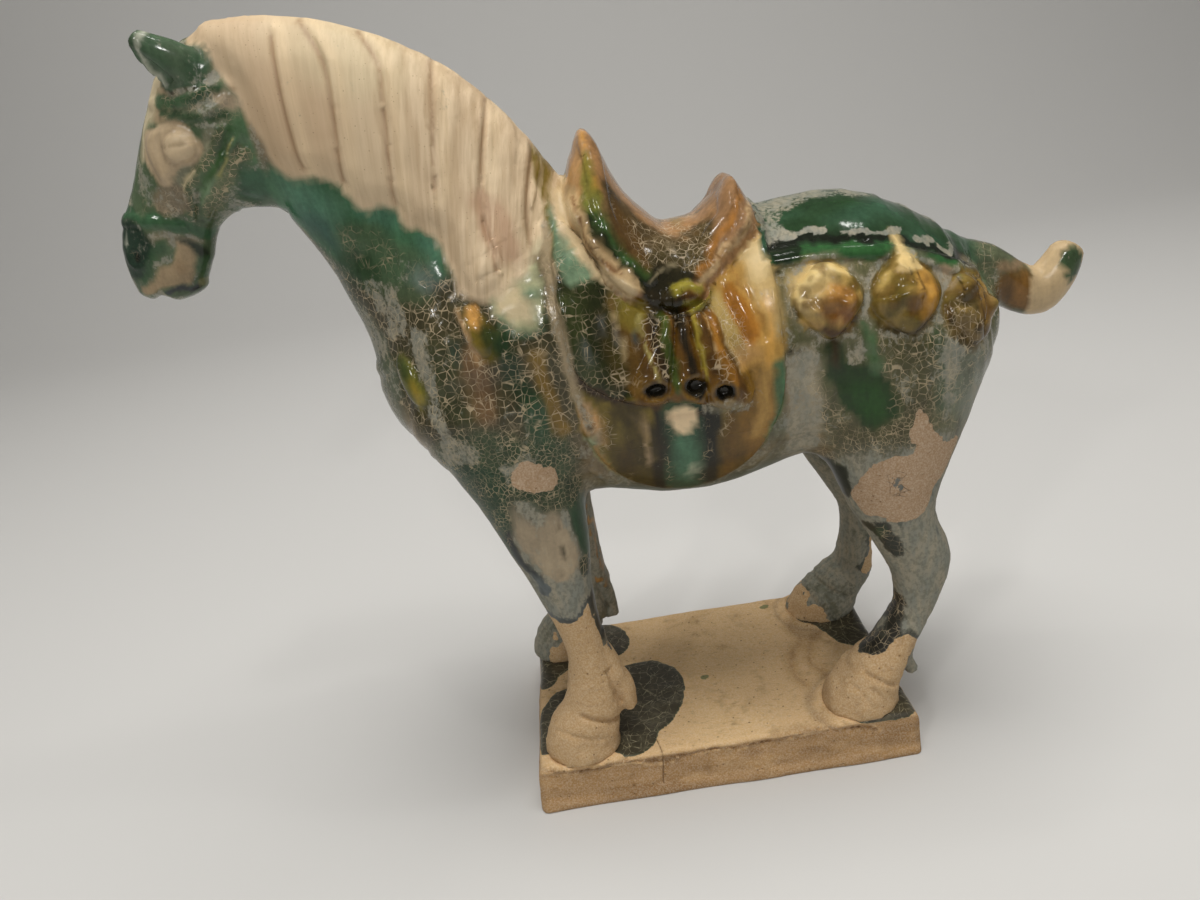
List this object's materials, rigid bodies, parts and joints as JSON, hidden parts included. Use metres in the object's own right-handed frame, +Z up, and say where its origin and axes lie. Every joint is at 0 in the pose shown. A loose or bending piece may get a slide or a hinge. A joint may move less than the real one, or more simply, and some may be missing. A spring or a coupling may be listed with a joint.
{
  "type": "glazed horse figurine",
  "caption": "Standing saddled horse in runny green, amber and cream lead glaze, with bare clay hooves luted to a low clay slab.",
  "frame": {"origin": "centre of the slab's flat underside", "axes": "+Z up, the horse's head towards -X and its tail towards +X, its left side towards -Y"},
  "size_m": [0.3602, 0.1054, 0.3172],
  "materials": {
    "glaze": "streaked green, amber and cream lead glaze, glossy, crackled and clouded, with bare clay patches",
    "clay": "unglazed buff earthenware, matt and rough"
  },
  "bodies": {
    "root": {"horse": "glaze", "base_slab": "clay"}
  },
  "joints": []
}
